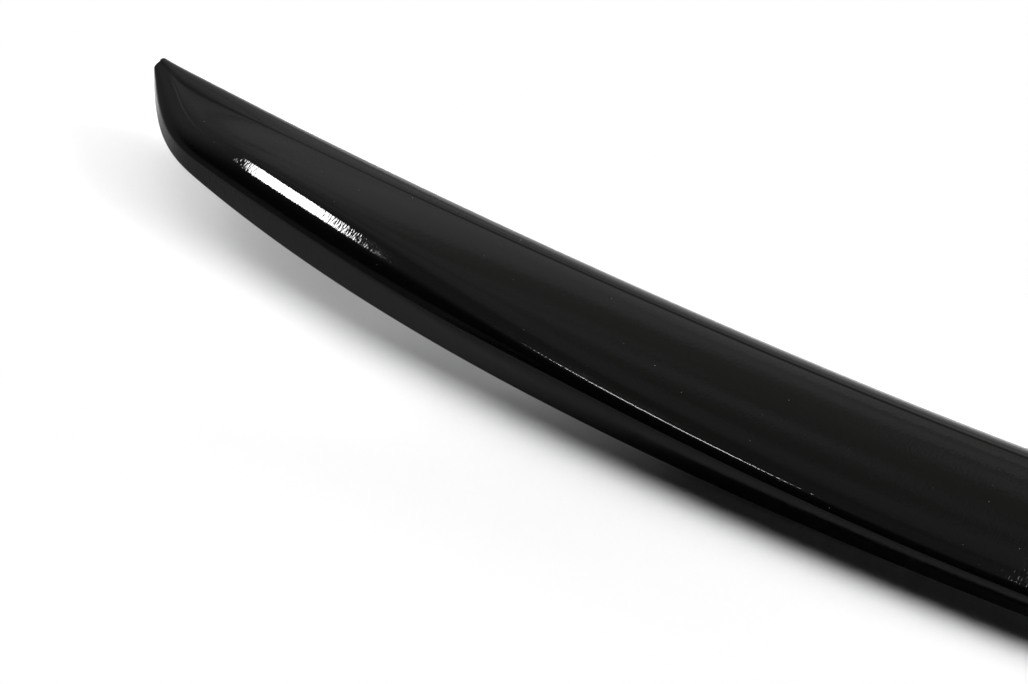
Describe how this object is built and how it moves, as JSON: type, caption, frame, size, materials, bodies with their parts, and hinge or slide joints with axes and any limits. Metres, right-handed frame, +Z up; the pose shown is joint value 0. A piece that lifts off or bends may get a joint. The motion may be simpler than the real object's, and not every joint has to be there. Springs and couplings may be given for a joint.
{
  "type": "front bumper lip",
  "caption": "Slender bowed car body lip moulded in one piece: crowned gloss top panel with a fine crease, rolled nose, pointed raised ends and a hollow open underside.",
  "frame": {"origin": "centre of the lip's bounding box, at the height of its lowest edge", "axes": "+X along the lip from end to end, to the right when seen from its nose; +Y from the rolled nose to the rear edge; +Z up, out of the top panel"},
  "size_m": [1.24, 0.1394, 0.048],
  "materials": {
    "lip_black": "deep gloss black, smooth, with a very fine orange-peel ripple"
  },
  "bodies": {
    "root": {"lip_shell": "lip_black"}
  },
  "joints": []
}
